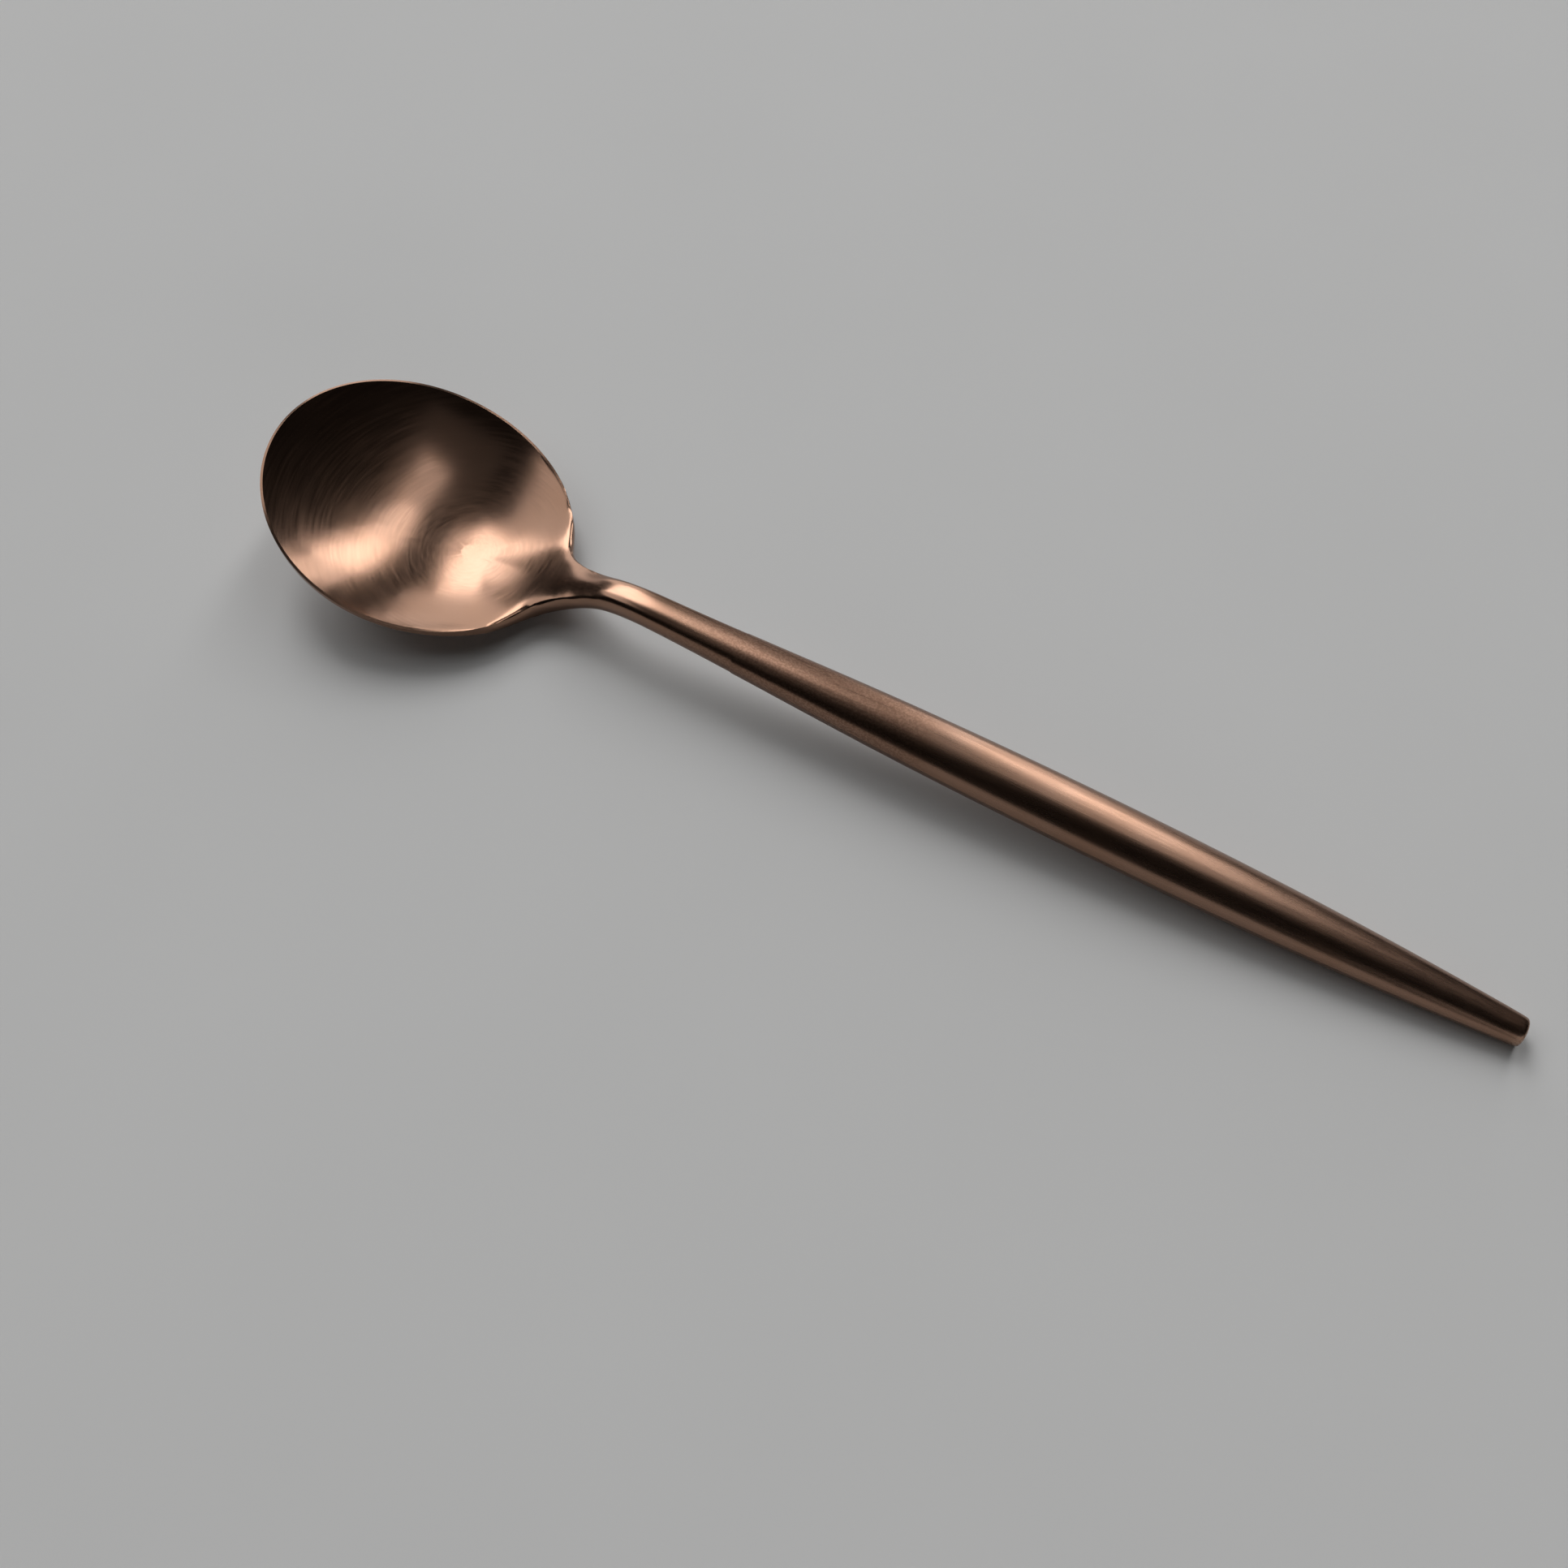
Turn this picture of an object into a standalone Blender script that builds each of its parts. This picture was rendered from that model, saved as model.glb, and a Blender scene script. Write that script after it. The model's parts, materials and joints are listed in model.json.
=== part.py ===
"""A teaspoon with a hollow handle, lying on its back on a table.

Metres, +Z up, table at z = 0. X runs along the spoon: the front of the bowl is at -X, the butt of the
handle at +X, and y = 0 is the plane of symmetry. The origin is under the middle of the spoon's length.

The bowl, neck and tang are one forging. The tang is cemented into a handle of two half shells, which a
plug closes at the butt. Nothing moves.
"""

import math

import bmesh
import bpy
from mathutils import Vector

MM = 0.001

# The whole spoon
SPOON_LENGTH = 140.0 * MM

# Bowl: the rim is an oval that tips down towards the neck
BOWL_LENGTH = 33.55 * MM
BOWL_WIDTH = 30.0 * MM
BOWL_EGG = 0.04  # how much wider than an ellipse the front half is, as a share
RIM_HEIGHT = 6.3 * MM  # of the rim's two sides above the table
RIM_TIP = 4.17 * MM  # how far the front rises, and the heel drops, from that height
RIM_BOW = 1.17 * MM  # how far both ends curl up above the tilted plane
RIM_FLAT = 0.4 * MM
RIM_SIDE = 0.5 * MM  # upright band below the rim's outer edge, at the front and the sides
HEEL_SIDE = 2.2 * MM  # height of that band at the heel, where the forging thickens into the neck
HEEL_SPREAD = 4.2  # power of that thickening round the rim: higher keeps it nearer the heel
TONGUE_RISE = 1.5 * MM  # how far the rim is lifted at the heel, where the neck runs down into the bowl
TONGUE_SPREAD = 40  # power of that lift round the rim: higher makes the tongue narrower
BELLY_FROM_FRONT = 22.4 * MM  # deepest point of the bowl, behind its front
BELLY_WALL = 1.6 * MM
BELLY_FLAT = 8.0 * MM  # diameter of the flat that the bowl rests on
INNER_FULLNESS = 2.0  # power of the inside profile: higher is flatter in the middle
OUTER_FULLNESS = 1.6

# Neck: it climbs from the heel of the bowl to a crest, then runs on as the handle
NECK_WIDTH = 3.7 * MM
NECK_HEIGHT = 3.0 * MM
NECK_SQUARENESS = 2.8  # power of the superellipse section, 2 is an ellipse
NECK_ROOT = 7.5 * MM  # from the heel to where the neck has its own section
CREST_FROM_HEEL = 12.7 * MM
CREST_AXIS_HEIGHT = 6.25 * MM
HEEL_DROP = 6.1 * MM  # how far the axis would fall from the crest to the heel
NECK_BEND = 2.7  # power of that fall: higher bends later

# Handle
JOINT_FROM_HEEL = 22.7 * MM  # where the shells meet the shoulder of the neck
GRIP_FROM_BUTT = 46.0 * MM  # widest place
GRIP_WIDTH = 6.45 * MM
GRIP_HEIGHT = 5.8 * MM
GRIP_SQUARENESS = 2.1
BUTT_WIDTH = 3.0 * MM
BUTT_HEIGHT = 2.85 * MM
SWELL_POWER = 1.24  # shape of the widening from neck to grip
TAPER_POWER = 2.24  # shape of the narrowing from grip to butt
SHELL_WALL = 0.55 * MM

# Tang, cement and plug
TANG_LENGTH = 30.0 * MM
CEMENT_WALL = 0.35 * MM  # at the mouth of the handle
CEMENT_PAST_TANG = 3.0 * MM
PLUG_HEAD = 2.0 * MM
PLUG_SPIGOT = 8.0 * MM
PLUG_ROUNDING = 0.45 * MM
FIT = 0.1 * MM  # clearance between neighbours

# Mesh density
HALF_COLUMNS = 24  # of the bowl, from the heel round to the front
HEEL_CROWDING = 1.25  # power that draws the columns towards the heel
ROOT_COLUMNS = 4  # on each side of the heel, that the neck grows out of
ROOT_LOOPS = 8
SHELL_STATIONS = 26
ARC_SEGMENTS = 12  # round half a handle section

# Worked-out places along X
FRONT_X = -SPOON_LENGTH / 2
BUTT_X = SPOON_LENGTH / 2
HEEL_X = FRONT_X + BOWL_LENGTH
BELLY_X = FRONT_X + BELLY_FROM_FRONT
ROOT_END_X = HEEL_X + NECK_ROOT
CREST_X = HEEL_X + CREST_FROM_HEEL
JOINT_X = HEEL_X + JOINT_FROM_HEEL
TANG_END_X = JOINT_X + TANG_LENGTH
GRIP_X = BUTT_X - GRIP_FROM_BUTT
SHELL_END_X = BUTT_X - PLUG_HEAD - FIT
WAIST_X = HEEL_X + NECK_ROOT + FIT  # narrowest place of the neck


def between(start, end, share):
    return start + (end - start) * share


def spread(start, end, count):
    """`count` places from start to end, both included."""
    return [between(start, end, i / (count - 1)) for i in range(count)]


def along_handle(x, neck, grip, butt):
    """A size that swells from the neck to the grip and narrows to the butt."""
    if x < GRIP_X:
        share = min((GRIP_X - x) / (GRIP_X - WAIST_X), 1.0) ** SWELL_POWER
        return between(neck, grip, (1 + math.cos(math.pi * share)) / 2)
    share = min((x - GRIP_X) / (BUTT_X - GRIP_X), 1.0) ** TAPER_POWER
    return between(grip, butt, share)


def half_width(x):
    return along_handle(x, NECK_WIDTH, GRIP_WIDTH, BUTT_WIDTH) / 2


def half_height(x):
    return along_handle(x, NECK_HEIGHT, GRIP_HEIGHT, BUTT_HEIGHT) / 2


def squareness(x):
    return along_handle(x, NECK_SQUARENESS, GRIP_SQUARENESS, GRIP_SQUARENESS)


def straight_axis(x):
    """Height of the straight axis that falls from the crest to a butt lying on the table."""
    return between(CREST_AXIS_HEIGHT, BUTT_HEIGHT / 2, (x - CREST_X) / (BUTT_X - CREST_X))


# The underside may bulge below the line between crest and butt, so the axis is lifted to clear the table.
TABLE_LIFT = max(half_height(x) - straight_axis(x) for x in spread(GRIP_X, BUTT_X, 200))


def axis_height(x):
    fall = max(CREST_X - x, 0.0) / CREST_FROM_HEEL
    lift = TABLE_LIFT * min(max((x - CREST_X) / (GRIP_X - CREST_X), 0.0), 1.0)
    return straight_axis(x) + lift - HEEL_DROP * fall**NECK_BEND


def signed_power(value, power):
    return math.copysign(abs(value) ** power, value)


def section(x, degrees, inset=0.0):
    """Points of the handle's section at x, at these angles from +Y towards +Z, drawn in by `inset`."""
    power = 2 / squareness(x)
    points = []
    for angle in map(math.radians, degrees):
        y = (half_width(x) - inset) * signed_power(math.cos(angle), power)
        z = (half_height(x) - inset) * signed_power(math.sin(angle), power)
        points.append(Vector((x, y, axis_height(x) + z)))
    return points


FULL_TURN = [360 * i / (2 * ARC_SEGMENTS) for i in range(2 * ARC_SEGMENTS)]


def add_ring(bm, points):
    return [bm.verts.new(point) for point in points]


def skin(bm, rings):
    """Quads between each ring of vertices and the next."""
    for ring, following in zip(rings, rings[1:]):
        for i in range(len(ring)):
            j = (i + 1) % len(ring)
            bm.faces.new((ring[i], ring[j], following[j], following[i]))


def loft(bm, loops):
    """A closed body through loops of points, capped at both ends."""
    rings = [add_ring(bm, loop) for loop in loops]
    skin(bm, rings)
    bm.faces.new(reversed(rings[0]))
    bm.faces.new(rings[-1])
    return rings


def finish(bm, name, material, collection):
    bmesh.ops.recalc_face_normals(bm, faces=bm.faces)
    mesh = bpy.data.meshes.new(name)
    bm.to_mesh(mesh)
    bm.free()
    mesh.materials.append(material)
    piece = bpy.data.objects.new(name, mesh)
    collection.objects.link(piece)
    return piece


def metal(name, colour, roughness, metallic=1.0):
    material = bpy.data.materials.new(name)
    material.use_nodes = True
    shader = material.node_tree.nodes["Principled BSDF"]
    shader.inputs["Base Color"].default_value = (*colour, 1)
    shader.inputs["Roughness"].default_value = roughness
    shader.inputs["Metallic"].default_value = metallic
    return material


# Bowl

def column_angles():
    """Angles of the bowl's columns from the heel, closer together there, all the way round."""
    half = [math.pi * (j / HALF_COLUMNS) ** HEEL_CROWDING for j in range(HALF_COLUMNS + 1)]
    return half + [-angle for angle in reversed(half[1:-1])]


def rim_point(angle, inset=0.0):
    """A point of the rim, at an angle about the oval's middle from the heel, drawn in by `inset`."""
    along = math.cos(angle)
    x = FRONT_X + BOWL_LENGTH / 2 + (BOWL_LENGTH / 2 - inset) * along
    y = (BOWL_WIDTH / 2 - inset) * math.sin(angle) * (1 - BOWL_EGG * along)
    return Vector((x, y, RIM_HEIGHT - RIM_TIP * along + RIM_BOW * along**2 + tongue_rise(angle)))


def tongue_rise(angle):
    return TONGUE_RISE * max(math.cos(angle), 0.0) ** TONGUE_SPREAD


def nearness_to_heel(angle):
    """1 at the heel, falling smoothly to 0 at the bowl's two sides."""
    return max(math.cos(angle), 0.0) ** HEEL_SPREAD


def side_height(angle):
    return between(RIM_SIDE, HEEL_SIDE, nearness_to_heel(angle)) + tongue_rise(angle)


def heel_slope():
    """Slope of the bowl's inside where it runs up into the neck."""
    return INNER_FULLNESS * (rim_point(0).z - BELLY_WALL) / (HEEL_X - BELLY_X)


def inner_point(angle, share):
    """A point of the bowl's inside, `share` of the way from its deepest point to the rim."""
    deepest = Vector((BELLY_X, 0, BELLY_WALL))
    rim = rim_point(angle, RIM_FLAT)
    # At the heel the rim's flat turns into a part of the ramp up to the neck.
    rim.z -= RIM_FLAT * heel_slope() * nearness_to_heel(angle)
    point = deepest.lerp(rim, share)
    point.z = between(deepest.z, rim.z, share**INNER_FULLNESS)
    return point


def outer_point(angle, share):
    """A point of the bowl's outside, `share` of the way from the edge of the belly flat to the rim."""
    rim = rim_point(angle)
    out = Vector((rim.x - BELLY_X, rim.y, 0))
    flat_edge = Vector((BELLY_X, 0, 0)) + out.normalized() * BELLY_FLAT / 2
    point = flat_edge.lerp(rim, share)
    point.z = (rim.z - side_height(angle)) * share**OUTER_FULLNESS
    return point


def side_point(angle, share):
    """A point of the band below the rim's outer edge, `share` of the way down."""
    return rim_point(angle) - Vector((0, 0, side_height(angle) * share))


INNER_SHARES = (0.06, 0.2, 0.34, 0.48, 0.61, 0.73, 0.84, 0.93, 1.0)
OUTER_SHARES = (1.0, 0.93, 0.85, 0.74, 0.61, 0.47, 0.33, 0.18, 0.0)
SIDE_SHARES = (0.0, 1 / 3, 2 / 3)
RIM_RING = len(INNER_SHARES)  # number of the ring at the rim's outer edge
ROOT_RING = RIM_RING + len(SIDE_SHARES)  # the neck grows out between these two rings


def bowl_loops():
    angles = column_angles()
    loops = [[inner_point(angle, share) for angle in angles] for share in INNER_SHARES]
    loops += [[side_point(angle, share) for angle in angles] for share in SIDE_SHARES]
    loops += [[outer_point(angle, share) for angle in angles] for share in OUTER_SHARES]
    return loops


def root_boundary(rings):
    """Vertices round the patch at the heel: along its top, down a side, along its bottom and up again."""
    across = range(ROOT_COLUMNS, -ROOT_COLUMNS - 1, -1)
    down = range(RIM_RING + 1, ROOT_RING)
    top = [rings[RIM_RING][column] for column in across]
    far = [rings[ring][-ROOT_COLUMNS] for ring in down]
    bottom = [rings[ROOT_RING][column] for column in reversed(across)]
    near = [rings[ring][ROOT_COLUMNS] for ring in reversed(down)]
    return top + far + bottom + near


def root_degrees():
    """Angles of the neck's section that the boundary's vertices run to, in the same order."""
    top = spread(40, 140, 2 * ROOT_COLUMNS + 1)
    far = spread(140, 220, ROOT_RING - RIM_RING + 1)[1:-1]
    return top + far + [180 + angle for angle in top] + [180 + angle for angle in far]


def hermite(start, start_pull, end, end_pull, t):
    return (
        start * (2 * t**3 - 3 * t**2 + 1)
        + start_pull * (t**3 - 2 * t**2 + t)
        + end * (3 * t**2 - 2 * t**3)
        + end_pull * (t**3 - t**2)
    )


def slope_along_x(height, x):
    step = 0.05 * MM
    return (height(x + step) - height(x - step)) / (2 * step)


def root_loop(boundary, t):
    """The loop of points `t` of the way from the bowl's boundary to the end of the neck's root."""
    climb = slope_along_x(axis_height, ROOT_END_X)
    widest = max(abs(point.y) for point in boundary)
    points = []
    for start, end in zip(boundary, section(ROOT_END_X, root_degrees())):
        run = end.x - start.x
        # The sides set off along the rim, towards the middle, which makes the fillet in plan.
        turn = (abs(start.y) / widest) ** 2
        inwards = end.y - start.y
        start_pull = Vector((run * between(1.0, 0.4, turn), 2.2 * turn * inwards, run * heel_slope() * (1 - turn)))
        points.append(hermite(start, start_pull, end, Vector((run, 0, run * climb)), t))
    return points


def tang_loop(x, degrees):
    """The tang keeps one size along its length: what the mouth of the handle leaves it."""
    inset = SHELL_WALL + CEMENT_WALL + 2 * FIT
    shift = Vector((x - JOINT_X, 0, axis_height(x) - axis_height(JOINT_X)))
    return [point + shift for point in section(JOINT_X, degrees, inset)]


def build_bowl(material, collection):
    bm = bmesh.new()
    rings = loft(bm, bowl_loops())
    boundary = root_boundary(rings)
    start = [vertex.co.copy() for vertex in boundary]
    inside = {
        rings[ring][column]
        for ring in range(RIM_RING, ROOT_RING + 1)
        for column in range(-ROOT_COLUMNS, ROOT_COLUMNS + 1)
    }
    patch = [face for face in bm.faces if all(vertex in inside for vertex in face.verts)]
    bmesh.ops.delete(bm, geom=patch, context="FACES_ONLY")
    for vertex in inside - set(boundary):
        bm.verts.remove(vertex)
    degrees = root_degrees()
    loops = [root_loop(start, step / ROOT_LOOPS) for step in range(1, ROOT_LOOPS)]
    loops += [section(x, degrees) for x in spread(ROOT_END_X, JOINT_X, 7)]
    loops += [tang_loop(x, degrees) for x in spread(JOINT_X, TANG_END_X, 6)]
    neck = [boundary] + [add_ring(bm, loop) for loop in loops]
    skin(bm, neck)
    bm.faces.new(neck[-1])
    return finish(bm, "bowl", material, collection)


# Handle

def shell_loop(x, side):
    """The closed outline of a half shell at x: side is 1 for the upper half and -1 for the lower."""
    there = spread(0, 180 * side, ARC_SEGMENTS + 1)
    outside = section(x, there)
    inside = section(x, reversed(there), SHELL_WALL)
    seam = axis_height(x) + side * FIT / 2
    for point in (outside[0], outside[-1], inside[0], inside[-1]):
        point.z = seam
    return outside + inside


def build_shell(name, side, material, collection):
    bm = bmesh.new()
    loft(bm, [shell_loop(x, side) for x in spread(JOINT_X + FIT, SHELL_END_X, SHELL_STATIONS)])
    return finish(bm, name, material, collection)


def build_cement(material, collection):
    """A sleeve on the tang, closed past the tang's end."""
    mouth = JOINT_X + FIT
    blind_end = TANG_END_X + FIT
    tip = TANG_END_X + CEMENT_PAST_TANG
    inset = SHELL_WALL + FIT
    grow = (half_width(JOINT_X) - inset - CEMENT_WALL) / (half_width(JOINT_X) - inset - CEMENT_WALL - FIT)

    def bore(x):
        centre = Vector((x, 0, axis_height(x)))
        return [centre + (point - centre) * grow for point in tang_loop(x, FULL_TURN)]

    bm = bmesh.new()
    loops = [bore(x) for x in spread(blind_end, mouth, 6)]
    loops += [section(x, FULL_TURN, inset) for x in spread(mouth, tip, 8)]
    loft(bm, loops)
    return finish(bm, "tang_cement", material, collection)


def build_plug(material, collection):
    """A head with the handle's own section, rounded at the butt, and a spigot inside the shells."""
    shoulder = BUTT_X - PLUG_HEAD
    corner = BUTT_X - PLUG_ROUNDING
    bm = bmesh.new()
    loops = [section(x, FULL_TURN, SHELL_WALL + FIT) for x in spread(shoulder - PLUG_SPIGOT, shoulder, 5)]
    loops += [section(x, FULL_TURN) for x in (shoulder, corner)]
    for degrees in (30, 60, 90):
        angle = math.radians(degrees)
        x = corner + PLUG_ROUNDING * math.sin(angle)
        loops.append(section(x, FULL_TURN, PLUG_ROUNDING * (1 - math.cos(angle))))
    loft(bm, loops)
    return finish(bm, "butt_plug", material, collection)


def main():
    for thing in list(bpy.data.objects):
        bpy.data.objects.remove(thing)
    collection = bpy.data.collections.new("teaspoon")
    bpy.context.scene.collection.children.link(collection)
    satin = metal("satin copper bronze, bowl", (0.42, 0.22, 0.14), 0.32)
    brushed = metal("satin copper bronze, upper shell", (0.42, 0.22, 0.14), 0.35)
    lower = metal("satin copper bronze, lower shell", (0.40, 0.21, 0.13), 0.35)
    butt = metal("satin copper bronze, plug", (0.36, 0.19, 0.12), 0.38)
    filler = metal("grey epoxy cement", (0.45, 0.44, 0.42), 0.8, 0.0)
    build_bowl(satin, collection)
    build_shell("handle_upper_shell", 1, brushed, collection)
    build_shell("handle_lower_shell", -1, lower, collection)
    build_cement(filler, collection)
    build_plug(butt, collection)


main()
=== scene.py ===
"""Looks of the teaspoon: refined copies of its CAD pieces in satin copper-bronze, on a plain pale table."""

import json
import math

import bmesh
import bpy
from mathutils import Matrix, Quaternion, Vector


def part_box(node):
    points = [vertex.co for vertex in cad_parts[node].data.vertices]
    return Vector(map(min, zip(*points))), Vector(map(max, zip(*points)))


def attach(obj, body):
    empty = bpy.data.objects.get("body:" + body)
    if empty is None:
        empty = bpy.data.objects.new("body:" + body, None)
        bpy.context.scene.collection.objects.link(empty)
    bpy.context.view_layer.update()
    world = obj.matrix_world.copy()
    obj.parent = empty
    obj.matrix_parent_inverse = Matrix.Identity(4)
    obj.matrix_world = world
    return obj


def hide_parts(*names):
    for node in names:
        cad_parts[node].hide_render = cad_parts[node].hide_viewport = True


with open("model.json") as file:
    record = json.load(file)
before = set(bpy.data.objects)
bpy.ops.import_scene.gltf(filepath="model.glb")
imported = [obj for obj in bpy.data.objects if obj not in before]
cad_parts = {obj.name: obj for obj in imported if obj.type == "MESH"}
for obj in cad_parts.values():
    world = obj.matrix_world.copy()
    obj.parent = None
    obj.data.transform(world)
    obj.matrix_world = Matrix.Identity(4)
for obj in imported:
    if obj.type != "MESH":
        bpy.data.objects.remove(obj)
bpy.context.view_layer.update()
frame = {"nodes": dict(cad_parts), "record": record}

MM = 0.001

# Camera, worked out from the photograph's own perspective
FOCAL_LENGTH = 36.0
SENSOR = 36.0
CAMERA_TARGET = Vector((-3.945, -8.611, 0.0)) * MM
CAMERA_DISTANCE = 161.101 * MM
CAMERA_AZIMUTH = math.radians(28.067)
CAMERA_ELEVATION = math.radians(60.926)
CAMERA_ROLL = math.radians(0.254)
CLIP_START = 1.0 * MM

# Places on the spoon, read from the frame
BOWL_LOW, BOWL_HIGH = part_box("bowl")
SHELL_LOW, SHELL_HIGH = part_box("handle_upper_shell")
BUTT_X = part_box("butt_plug")[1].x
BELLY_X = frame["record"]["mounts"][0]["pos_m"][0]

# Places and sizes within the pieces
HEEL_X = -36.45 * MM
NECK_ROOT_HALF_WIDTH = 3.2 * MM
BELLY_FLAT_RADIUS = 4.1 * MM
INNER_CAP_RADIUS = 0.6 * MM
BUTT_CAP_DEPTH = 0.02 * MM

# Rim of the bowl. Its inner edge lies between two shares of the way from the bowl's middle out to the rim
RIM_HALF_LENGTH = (HEEL_X - BOWL_LOW.x) / 2
RIM_HALF_WIDTH = BOWL_HIGH.y
RIM_CENTRE = Vector((BOWL_LOW.x + RIM_HALF_LENGTH, 0, 0))
RIM_EGG = 0.04
RIM_INNER_EDGE = 0.96, 0.985
RIM_THINNING = 1.008
RIM_THINNING_REACH = 8.0 * MM
RIM_ROLL = 0.05 * MM
RIM_FLAT_END = HEEL_X - 4.0 * MM
RIM_END_SPREAD = 1.0256
RIM_END_RISE = 0.09 * MM
RIM_END_MERGE = 0.12 * MM

# Ramp from the bowl up into the neck, smoothed in height alone
HEEL_RAMP_BACK = 1.0 * MM
HEEL_RAMP_LENGTH = 7.6 * MM
HEEL_RAMP_WIDTH = 7.5 * MM
HEEL_RAMP_STROKES = 30

# Polished oval at the neck's root, which narrows step by step so that its edge fades out
POLISH_X = HEEL_X + 2.0 * MM
POLISH_HALF_LENGTH = 6.0 * MM
POLISH_HALF_WIDTH = 5.5 * MM
POLISH_SCALES = 1.8, 0.8
POLISH_STEPS = 22
STROKE_STRENGTH = 0.5

# Fits between the pieces, which polishing closes to a hairline
CAD_CLEARANCE = 0.1 * MM
HAIRLINE = 0.004 * MM
SEAM_FROM_MIDDLE = 1.0 * MM
JOINT_MARGIN = 0.5 * MM

# How much of a normal has to point one way for a face or a vertex to count as facing it
CAP_FACING = 0.9
RAMP_FACING = 0.4
RIM_FLAT_FACING = 0.5
RIM_END_FACING = 0.2
SEAM_FACING = 0.97
BUTT_FACING = 0.99

# Handling of the meshes
MERGE_DISTANCE = 0.001 * MM
QUAD_BEND = math.radians(60)
QUAD_SKEW = math.radians(70)
SHARP_ANGLE = math.radians(32)
BUTT_SHARP_ANGLE = math.radians(50)
FULL_CREASE = 1.0
SUBDIVISIONS = 2

# Fineness of the metal's streaks, brush marks, grain and blotches, as counts in a metre
STREAK_FINENESS = 4000
STREAK_LENGTHS = 170
BRUSH_FINENESS = 9000
BRUSH_LENGTHS = 120
GRAIN_FINENESS = 4500
BLOTCH_FINENESS = 120

# Arc streaks in a radian about the bowl's middle, levels of detail of two noises, and a noise's middle value
ARC_STREAKS = 3.0
GRAIN_DETAIL = 1.0
BLOTCH_DETAIL = 3.0
NOISE_MIDDLE = 0.5

# Stretches along the spoon over which one finish goes over into the next
BOWL_END = HEEL_X - 2.0 * MM, HEEL_X + 3.0 * MM
NECK_START = HEEL_X + 2.0 * MM, HEEL_X + 14.0 * MM
# The grained stretch also carries painted shade in the metal's colour
GRAIN_AND_SHADE_START = -26.0 * MM, -14.0 * MM
GRIP_START = 5.0 * MM, 11.0 * MM
WEAR_START = BUTT_X - 1.4 * MM, BUTT_X

# Distances from the bowl's middle between which the relief of its arcs comes in
ARC_START = 0.5 * MM, 4.0 * MM

# Roughness of the metal, what each stretch adds to it and how far streaks and blotches change it
SATIN_ROUGHNESS = 0.2
NECK_ROUGHNESS = 0.03
GRAIN_ROUGHNESS = 0.06
GRIP_ROUGHNESS = 0.05
STREAK_ROUGHNESS = 0.12
BLOTCH_ROUGHNESS = 0.06

# Height of the metal's relief, and the share of it that arcs and grain have
RELIEF_HEIGHT = 0.003 * MM
ARC_RELIEF = 0.45
GRAIN_RELIEF = 0.15
NECK_GRAIN_RELIEF = 0.8

# Colours of the metal, the ranges of noise over which one goes over into the next, and how far. The dark
# one, mixed in specks over the grained stretch, is partly real grain and partly painted shade
BRONZE = (0.305, 0.184, 0.13, 1.0)
BRONZE_WARM = (0.285, 0.166, 0.112, 1.0)
BRONZE_GRAIN_AND_SHADE = (0.19, 0.105, 0.07, 1.0)
BRONZE_WORN = (0.52, 0.37, 0.28, 1.0)
BLOTCH_RANGE = 0.3, 0.7
GRAIN_RANGE = 0.3, 0.65
GRAIN_AND_SHADE_TINT = 0.8
WEAR_RANGE = 0.35, 0.65
WEAR_TINT = 0.5

# Cement and the pits in it
CEMENT_PALE = (0.5, 0.49, 0.46, 1.0)
CEMENT_DARK = (0.38, 0.37, 0.35, 1.0)
CEMENT_ROUGHNESS = 0.75
PIT_FINENESS = 4000
PIT_DETAIL = 4.0
PIT_HARSHNESS = 0.6
PIT_ROUGHNESS = 0.2
PIT_RELIEF = 0.03 * MM

# Table
TABLE_SIZE = 4.0
TABLE_DARK = (0.7, 0.7, 0.695, 1.0)
TABLE_PALE = (0.73, 0.73, 0.725, 1.0)
TABLE_ROUGHNESS = 0.8
MOTTLE_FINENESS = 30

# Studio
LIGHT_DISTANCE = 2.5
CEILING_HEIGHT = 1.05
ROOM_DARK = (0.008, 0.008, 0.008, 1.0)
BACKDROP = (0.45, 0.45, 0.45, 1.0)

# Where a Mix node has its sockets for colours
MIX_FIRST = 6
MIX_SECOND = 7
MIX_RESULT = 2


def select_only(piece):
    bpy.ops.object.select_all(action="DESELECT")
    piece.select_set(True)
    bpy.context.view_layer.objects.active = piece


def pick(piece, kind, test):
    """Selects in edit mode the faces, edges or verts of the piece that pass the test."""
    bpy.ops.mesh.select_mode(type={"faces": "FACE", "edges": "EDGE", "verts": "VERT"}[kind])
    bpy.ops.mesh.select_all(action="DESELECT")
    shape = bmesh.from_edit_mesh(piece.data)
    for element in getattr(shape, kind):
        element.select_set(test(element))
    shape.select_flush_mode()
    bmesh.update_edit_mesh(piece.data)


def copy_of_node(node, name):
    """A merged copy of a CAD node's mesh, in quads, left in edit mode."""
    piece = bpy.data.objects.new(name, frame["nodes"][node].data.copy())
    bpy.context.scene.collection.objects.link(piece)
    piece.data.materials.clear()
    select_only(piece)
    bpy.ops.mesh.customdata_custom_splitnormals_clear()
    bpy.ops.object.mode_set(mode="EDIT")
    bpy.ops.mesh.select_all(action="SELECT")
    bpy.ops.mesh.remove_doubles(threshold=MERGE_DISTANCE)
    bpy.ops.mesh.tris_convert_to_quads(face_threshold=QUAD_BEND, shape_threshold=QUAD_SKEW)
    return piece


def crease_sharp_edges(piece, angle, test=lambda edge: True):
    pick(piece, "edges", lambda edge: edge.calc_face_angle(0) > angle and test(edge))
    bpy.ops.transform.edge_crease(value=FULL_CREASE)


def subdivide(piece):
    """Leaves edit mode and applies a subdivision surface, with smooth shading."""
    bpy.ops.object.mode_set(mode="OBJECT")
    smoothing = piece.modifiers.new("smoothing", "SUBSURF")
    smoothing.levels = SUBDIVISIONS
    smoothing.render_levels = SUBDIVISIONS
    bpy.ops.object.modifier_apply(modifier=smoothing.name)
    bpy.ops.object.shade_smooth_by_angle(angle=SHARP_ANGLE)


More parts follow.
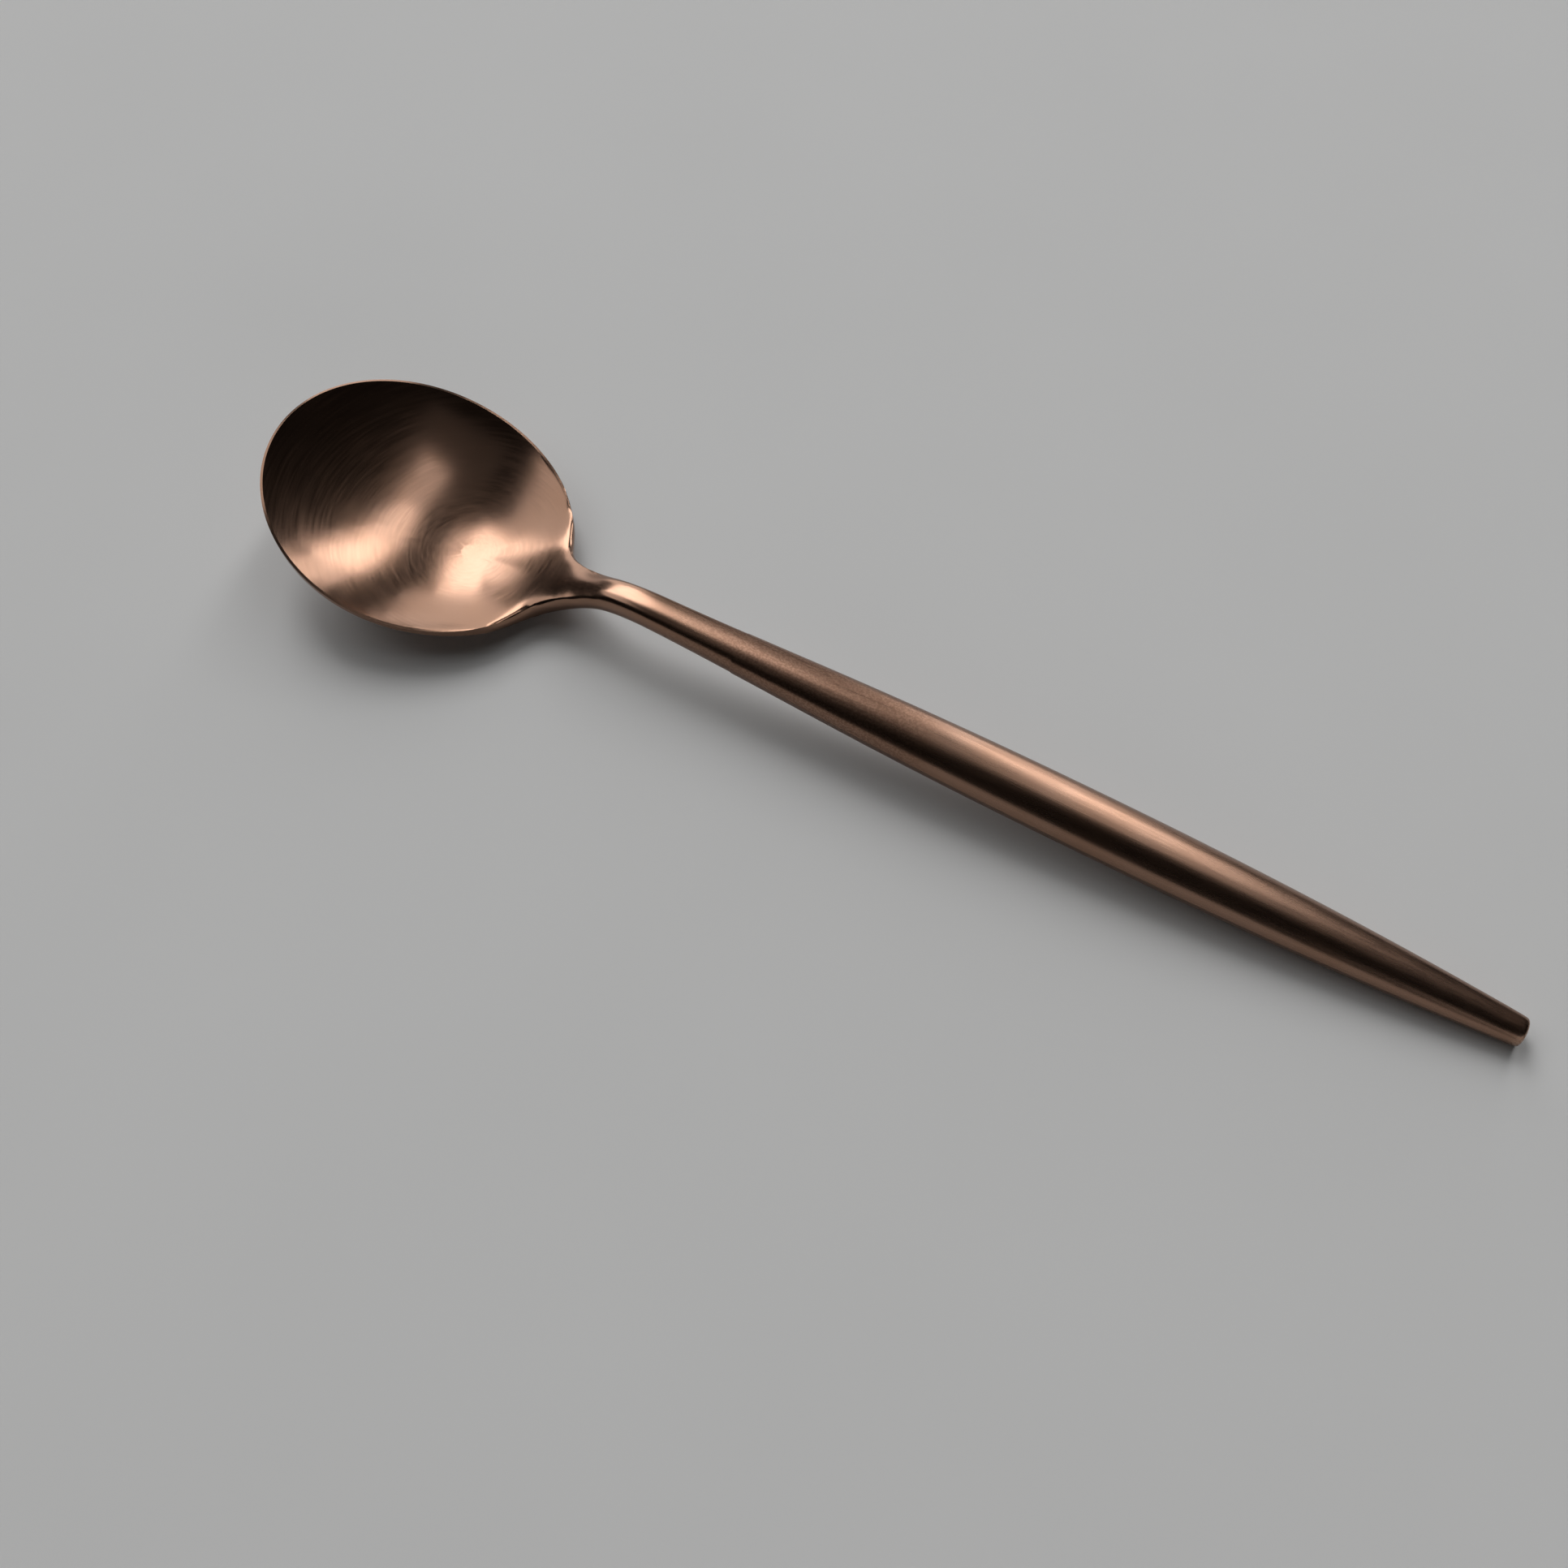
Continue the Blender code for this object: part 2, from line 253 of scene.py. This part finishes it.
def rim_share(place):
    """How far a place lies from the middle of the bowl towards its rim."""
    along = (place.x - RIM_CENTRE.x) / RIM_HALF_LENGTH
    across = place.y / RIM_HALF_WIDTH / (1 - RIM_EGG * along)
    return math.hypot(along, across)


def before_heel(place):
    return place.x < RIM_FLAT_END


def outside_inner_edge(place):
    return rim_share(place) > RIM_INNER_EDGE[1]


def on_caps(face):
    """The flat faces that close the bowl at its deepest point and under its belly."""
    centre = face.calc_center_median()
    reach = Vector((centre.x - BELLY_X, centre.y)).length
    if centre.z < MERGE_DISTANCE:
        return reach < BELLY_FLAT_RADIUS
    return reach < INNER_CAP_RADIUS and face.normal.z > CAP_FACING


def on_rim_inner_edge(vertex):
    """The loop where the bowl's inside meets the rim's flat."""
    first, last = RIM_INNER_EDGE
    return first < rim_share(vertex.co) < last and vertex.normal.z > RIM_FLAT_FACING


def inner_edge_before_heel(vertex):
    return on_rim_inner_edge(vertex) and before_heel(vertex.co)


def inner_edge_at_heel(vertex):
    return on_rim_inner_edge(vertex) and not before_heel(vertex.co)


def on_rim_end(vertex):
    """The top of the rim past the end of its flat."""
    upward = vertex.normal.z > RIM_END_FACING
    return outside_inner_edge(vertex.co) and upward and not before_heel(vertex.co)


def on_heel_ramp(vertex):
    """The top of the bowl where it runs up into the neck, without the outer edge of the rim."""
    along = (vertex.co.x - HEEL_X + HEEL_RAMP_BACK) / HEEL_RAMP_LENGTH
    across = vertex.co.y / HEEL_RAMP_WIDTH
    on_edge = outside_inner_edge(vertex.co) and abs(vertex.co.y) > NECK_ROOT_HALF_WIDTH
    return along**2 + across**2 < 1 and vertex.normal.z > RAMP_FACING and not on_edge


def beside_heel(edge):
    """The outer edge of the rim, from where its flat ends to the root of the neck."""
    middle = (edge.verts[0].co + edge.verts[1].co) / 2
    outer = outside_inner_edge(middle) and abs(middle.y) > NECK_ROOT_HALF_WIDTH
    return outer and RIM_FLAT_END < middle.x < HEEL_X


def stays_crisp(edge):
    """What lies before the heel or beside it, and from the handle's mouth on."""
    start = edge.verts[0].co
    return before_heel(start) or beside_heel(edge) or start.x > SHELL_LOW.x - JOINT_MARGIN


def make_bowl():
    piece = copy_of_node("bowl", "spoon_bowl")
    pick(piece, "faces", on_caps)
    bpy.ops.mesh.dissolve_faces()
    # The rim's flat tapers off before the heel, where the bowl runs smoothly up into the neck
    pick(piece, "edges", lambda edge: all(inner_edge_at_heel(end) for end in edge.verts))
    bpy.ops.mesh.dissolve_edges(use_verts=True)
    pick(piece, "verts", inner_edge_at_heel)
    bpy.ops.transform.resize(value=(RIM_END_SPREAD, RIM_END_SPREAD, 1), center_override=RIM_CENTRE)
    bpy.ops.transform.translate(value=(0, 0, RIM_END_RISE))
    pick(piece, "verts", on_rim_end)
    bpy.ops.mesh.remove_doubles(threshold=RIM_END_MERGE)
    pick(piece, "verts", on_heel_ramp)
    bpy.ops.mesh.vertices_smooth(factor=STROKE_STRENGTH, repeat=HEEL_RAMP_STROKES, xaxis=False, yaxis=False)
    # The wall's inside goes out towards the rim, which thins the flat, and up, which rolls it outwards
    pick(piece, "verts", lambda vertex: outside_inner_edge(vertex.co) or vertex.normal.z < 0)
    bpy.ops.mesh.hide(unselected=False)
    pick(piece, "verts", inner_edge_before_heel)
    bpy.ops.transform.resize(
        value=(RIM_THINNING, RIM_THINNING, 1),
        center_override=RIM_CENTRE,
        use_proportional_edit=True,
        use_proportional_connected=True,
        proportional_edit_falloff="SMOOTH",
        proportional_size=RIM_THINNING_REACH,
    )
    bpy.ops.transform.translate(value=(0, 0, RIM_ROLL))
    bpy.ops.mesh.reveal(select=False)
    crease_sharp_edges(piece, SHARP_ANGLE, stays_crisp)
    subdivide(piece)
    polish_heel(piece)
    return piece


def polish_share(place):
    """How far a place lies from the middle of the polished oval towards its edge."""
    return math.hypot((place.x - POLISH_X) / POLISH_HALF_LENGTH, place.y / POLISH_HALF_WIDTH)


def polish_heel(piece):
    """Rounds off the rim's edge and the fillets beside the neck's root, most of all at the root itself."""
    bpy.ops.object.mode_set(mode="EDIT")
    widest, narrowest = POLISH_SCALES
    for step in range(POLISH_STEPS):
        done = step / (POLISH_STEPS - 1)
        scale = widest * (1 - done) + narrowest * done
        pick(piece, "verts", lambda vertex: polish_share(vertex.co) < scale)
        bpy.ops.mesh.vertices_smooth(factor=STROKE_STRENGTH)
    bpy.ops.object.mode_set(mode="OBJECT")
    bpy.ops.object.shade_smooth_by_angle(angle=SHARP_ANGLE)


def make_shell(node, name, side):
    """A half of the handle, lengthened at both ends and deepened at its seam until hairlines are left."""
    piece = copy_of_node(node, name)
    close = CAD_CLEARANCE - HAIRLINE
    first, last = SHELL_LOW.x, SHELL_HIGH.x

    def on_seam(face):
        return face.normal.z * side < -SEAM_FACING and abs(face.calc_center_median().y) > SEAM_FROM_MIDDLE

    pick(piece, "verts", lambda vertex: vertex.co.x < first + MERGE_DISTANCE)
    bpy.ops.transform.translate(value=(-close, 0, 0))
    pick(piece, "verts", lambda vertex: vertex.co.x > last - MERGE_DISTANCE)
    bpy.ops.transform.translate(value=(close, 0, 0))
    pick(piece, "faces", on_seam)
    bpy.ops.transform.translate(value=(0, 0, -side * (close - HAIRLINE) / 2))
    crease_sharp_edges(piece, SHARP_ANGLE)
    subdivide(piece)
    bpy.ops.object.mode_set(mode="EDIT")
    pick(piece, "edges", lambda edge: all(not first < end.co.x < last for end in edge.verts))
    bpy.ops.mesh.mark_sharp()
    bpy.ops.object.mode_set(mode="OBJECT")
    return piece


def make_plug():
    piece = copy_of_node("butt_plug", "spoon_butt_plug")

    def on_butt(face):
        return face.normal.x > BUTT_FACING and face.calc_center_median().x > BUTT_X - BUTT_CAP_DEPTH

    pick(piece, "faces", on_butt)
    bpy.ops.mesh.dissolve_faces()
    crease_sharp_edges(piece, BUTT_SHARP_ANGLE)
    subdivide(piece)
    return piece


def make_camera():
    sideways = math.cos(CAMERA_ELEVATION)
    back = Vector((
        math.sin(CAMERA_AZIMUTH) * sideways,
        -math.cos(CAMERA_AZIMUTH) * sideways,
        math.sin(CAMERA_ELEVATION),
    ))
    level = Vector((math.cos(CAMERA_AZIMUTH), math.sin(CAMERA_AZIMUTH), 0))
    raised = back.cross(level)
    right = level * math.cos(CAMERA_ROLL) + raised * math.sin(CAMERA_ROLL)
    up = raised * math.cos(CAMERA_ROLL) - level * math.sin(CAMERA_ROLL)
    place = CAMERA_TARGET + back * CAMERA_DISTANCE
    camera = bpy.data.objects.new("camera", bpy.data.cameras.new("camera"))
    camera.data.lens = FOCAL_LENGTH
    camera.data.sensor_width = SENSOR
    camera.data.clip_start = CLIP_START
    camera.matrix_world = Matrix.Translation(place) @ Matrix((right, up, back)).transposed().to_4x4()
    bpy.context.scene.collection.objects.link(camera)
    bpy.context.scene.camera = camera


def make_table():
    bpy.ops.object.select_all(action="DESELECT")
    bpy.ops.mesh.primitive_plane_add(size=TABLE_SIZE, location=(0, 0, 0))
    table = bpy.context.object
    table.name = "table"
    return table


class Shade:
    """A shader socket. Python's operators on it add Math nodes to its node tree."""

    def __init__(self, nodes, socket):
        self.nodes = nodes
        self.socket = socket

    def math(self, operation, *values):
        return self.nodes.add("ShaderNodeMath", {"operation": operation}, dict(enumerate(values)))

    def __add__(self, other):
        return self.math("ADD", self, other)

    def __radd__(self, other):
        return self.math("ADD", other, self)

    def __sub__(self, other):
        return self.math("SUBTRACT", self, other)

    def __rsub__(self, other):
        return self.math("SUBTRACT", other, self)

    def __mul__(self, other):
        return self.math("MULTIPLY", self, other)

    def __rmul__(self, other):
        return self.math("MULTIPLY", other, self)

    def __truediv__(self, other):
        return self.math("DIVIDE", self, other)

    def __pow__(self, other):
        return self.math("POWER", self, other)


class Nodes:
    """A node tree under construction."""

    def __init__(self, tree):
        self.tree = tree

    def add(self, kind, settings=None, sockets=None, output=0):
        """Adds a node with its settings, then its sockets' values or links, and returns one output."""
        made = self.tree.nodes.new(kind)
        for name, value in (settings or {}).items():
            setattr(made, name, value)
        for name, value in (sockets or {}).items():
            self.feed(made.inputs[name], value)
        return Shade(self, made.outputs[output])

    def feed(self, socket, value):
        if isinstance(value, Shade):
            self.tree.links.new(value.socket, socket)
        else:
            socket.default_value = value

    def mix(self, factor, first, second):
        """Goes from the first colour to the second as the factor goes from 0 to 1."""
        sockets = {"Factor": factor, MIX_FIRST: first, MIX_SECOND: second}
        return self.add("ShaderNodeMix", {"data_type": "RGBA"}, sockets, output=MIX_RESULT)


class Finish(Nodes):
    """A material under construction: a Principled shader and the nodes that feed it."""

    def __init__(self, name):
        self.material = bpy.data.materials.new(name)
        self.material.use_nodes = True
        super().__init__(self.material.node_tree)
        self.shader = self.tree.nodes["Principled BSDF"]
        self.place = self.add("ShaderNodeTexCoord", output="Object")

    def set(self, **values):
        """Sets or links the shader's own sockets, named with _ for a space."""
        for name, value in values.items():
            self.feed(self.shader.inputs[name.replace("_", " ")], value)

    def part_of_place(self, axis):
        return self.add("ShaderNodeSeparateXYZ", {}, {"Vector": self.place}, output=axis)

    def stretched(self, scale):
        return self.add("ShaderNodeMapping", {}, {"Vector": self.place, "Scale": scale})

    def noise(self, vector, scale=1.0, detail=2.0, roughness=0.5):
        sockets = {"Vector": vector, "Scale": scale, "Detail": detail, "Roughness": roughness}
        return self.add("ShaderNodeTexNoise", {}, sockets)

    def ease(self, value, start, end):
        """Goes smoothly from 0 to 1 as the value goes from start to end."""
        settings = {"interpolation_type": "SMOOTHSTEP"}
        return self.add("ShaderNodeMapRange", settings, {"Value": value, "From Min": start, "From Max": end})

    def bump(self, height, distance):
        return self.add("ShaderNodeBump", {}, {"Height": height, "Distance": distance, "Strength": 1.0})


def bronze(name):
    """Satin copper-bronze: arcs in the bowl, grain at the neck darkened with painted shade, and lengthways
    brushing on the grip.
    """
    finish = Finish(name)
    along = finish.part_of_place("X")
    across = finish.part_of_place("Y")
    out_x = along - BELLY_X
    reach = (out_x * out_x + across * across) ** 0.5

    # Arcs about the middle of the bowl, streaks and brush marks along the handle, grain and blotches
    arcs = finish.add("ShaderNodeCombineXYZ", {}, {
        "X": out_x / reach * ARC_STREAKS,
        "Y": across / reach * ARC_STREAKS,
        "Z": reach * STREAK_FINENESS,
    })
    arc_streaks = finish.noise(arcs)
    length_streaks = finish.noise(finish.stretched((STREAK_LENGTHS, STREAK_FINENESS, STREAK_FINENESS)))
    brush = finish.noise(finish.stretched((BRUSH_LENGTHS, BRUSH_FINENESS, BRUSH_FINENESS)))
    grain = finish.noise(finish.place, GRAIN_FINENESS, GRAIN_DETAIL)
    blotches = finish.noise(finish.place, BLOTCH_FINENESS, BLOTCH_DETAIL)

    # Where on the spoon each of them shows
    on_bowl = 1 - finish.ease(along, *BOWL_END)
    on_arcs = on_bowl * finish.ease(reach, *ARC_START)
    on_neck = finish.ease(along, *NECK_START)
    on_grip = finish.ease(along, *GRIP_START)
    grain_and_shade_stretch = finish.ease(along, *GRAIN_AND_SHADE_START) * (1 - on_grip)
    streaks = arc_streaks * on_bowl + length_streaks * (1 - on_bowl)
    butt_wear = finish.ease(along, *WEAR_START) * finish.ease(grain, *WEAR_RANGE)

    tone = finish.mix(finish.ease(blotches, *BLOTCH_RANGE), BRONZE, BRONZE_WARM)
    # Painted shade: the grained stretch is darkened in specks of grain, partly real grain and partly painted
    # shade
    tone = finish.mix(grain_and_shade_stretch * finish.ease(grain, *GRAIN_RANGE) * GRAIN_AND_SHADE_TINT, tone, BRONZE_GRAIN_AND_SHADE)
    roughness = SATIN_ROUGHNESS + on_neck * NECK_ROUGHNESS
    roughness += grain_and_shade_stretch * GRAIN_ROUGHNESS + on_grip * GRIP_ROUGHNESS
    roughness += (streaks - NOISE_MIDDLE) * STREAK_ROUGHNESS
    roughness += (blotches - NOISE_MIDDLE) * BLOTCH_ROUGHNESS
    relief = arc_streaks * on_arcs * ARC_RELIEF + brush * on_grip
    relief += grain * (GRAIN_RELIEF + grain_and_shade_stretch * NECK_GRAIN_RELIEF)
    finish.set(
        Base_Color=finish.mix(butt_wear * WEAR_TINT, tone, BRONZE_WORN),
        Metallic=1.0,
        Roughness=roughness,
        Normal=finish.bump(relief, RELIEF_HEIGHT),
    )
    return finish.material


def cement():
    finish = Finish("tang_cement_finish")
    pits = finish.noise(finish.place, PIT_FINENESS, PIT_DETAIL, PIT_HARSHNESS)
    finish.set(
        Base_Color=finish.mix(pits, CEMENT_PALE, CEMENT_DARK),
        Roughness=CEMENT_ROUGHNESS + pits * PIT_ROUGHNESS,
        Normal=finish.bump(pits, PIT_RELIEF),
    )
    return finish.material


def table_finish():
    finish = Finish("table_finish")
    mottle = finish.noise(finish.place, MOTTLE_FINENESS)
    finish.set(
        Base_Color=finish.mix(mottle, TABLE_DARK, TABLE_PALE),
        Roughness=TABLE_ROUGHNESS,
    )
    return finish.material


def soft_light(name, middle, width, height, brightness):
    """A rectangle of even light that lies level until it is turned and that the camera doesn't see."""
    bpy.ops.object.light_add(type="AREA", location=middle)
    light = bpy.context.object
    light.name = name
    light.data.shape = "RECTANGLE"
    light.data.size = width
    light.data.size_y = height
    light.data.energy = brightness * math.pi * light.data.size * light.data.size_y
    light.visible_camera = False
    return light


def softbox(name, facing, azimuths, elevations, brightness, lean=0):
    """An upright soft light across the azimuth `facing`, between two azimuths and two elevations in degrees,
    seen from the spoon, then leant in its own plane. Azimuth 0 is +Y and 90 is +X."""
    turn = math.radians(facing)
    left, right = (LIGHT_DISTANCE * math.tan(math.radians(azimuth - facing)) for azimuth in azimuths)
    low, high = (LIGHT_DISTANCE * math.tan(math.radians(elevation)) for elevation in elevations)
    towards = Vector((math.sin(turn), math.cos(turn), 0))
    sideways = Vector((math.cos(turn), -math.sin(turn), 0))
    middle = towards * LIGHT_DISTANCE + sideways * (left + right) / 2 + Vector((0, 0, (low + high) / 2))
    light = soft_light(name, middle, right - left, high - low, brightness)
    leaning = Quaternion((0, 0, 1), math.radians(lean))
    light.rotation_euler = (towards.to_track_quat("Z", "Y") @ leaning).to_euler()


def overhead(name, x_range, y_range, brightness):
    """A level soft light at the ceiling, between two places in X and two in Y."""
    left, right = x_range
    near, far = y_range
    middle = ((left + right) / 2, (near + far) / 2, CEILING_HEIGHT)
    soft_light(name, middle, right - left, far - near, brightness)


def make_lights():
    softbox("far_softbox", facing=0, azimuths=(-6, 8.5), elevations=(30, 49), brightness=5.6, lean=8)
    softbox("far_softbox_foot", facing=0, azimuths=(-9, 2), elevations=(2, 30), brightness=2.9, lean=6)
    softbox("far_softbox_top", facing=0, azimuths=(1, 20.5), elevations=(49, 69), brightness=3.5, lean=10)
    softbox("left_softbox", facing=308, azimuths=(296, 328), elevations=(32, 63), brightness=4.9)
    softbox("left_softbox_foot", facing=322, azimuths=(307, 336), elevations=(2, 32), brightness=1.6)
    softbox("left_softbox_wing", facing=265, azimuths=(238, 296), elevations=(33, 61), brightness=1.2)
    softbox("near_softbox_low", facing=130, azimuths=(106, 154), elevations=(3, 24), brightness=0.7)
    overhead("ceiling_by_the_window", x_range=(0.0, 0.22), y_range=(0.0, 0.4), brightness=1.4)
    overhead("ceiling", x_range=(-0.3, 0.3), y_range=(-0.3, 0.3), brightness=0.08)


def make_room():
    """A dark room, which the camera sees as a pale backdrop."""
    world = bpy.data.worlds.new("studio")
    world.use_nodes = True
    room = Nodes(world.node_tree)
    seen = room.add("ShaderNodeLightPath", output="Is Camera Ray")
    room.feed(room.tree.nodes["Background"].inputs["Color"], room.mix(seen, ROOM_DARK, BACKDROP))
    bpy.context.scene.world = world


make_camera()
make_lights()
make_room()
table = make_table()
pieces = {
    "bowl": make_bowl(),
    "handle_upper_shell": make_shell("handle_upper_shell", "spoon_handle_upper", 1),
    "handle_lower_shell": make_shell("handle_lower_shell", "spoon_handle_lower", -1),
    "butt_plug": make_plug(),
}
for node, piece in pieces.items():
    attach(piece, "root")
    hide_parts(node)

metal = bronze("satin_bronze")
for piece in pieces.values():
    piece.data.materials.append(metal)
cement_node = frame["nodes"]["tang_cement"]
cement_node.data.materials.clear()
cement_node.data.materials.append(cement())
table.data.materials.append(table_finish())

bpy.context.scene.view_settings.view_transform = "Standard"
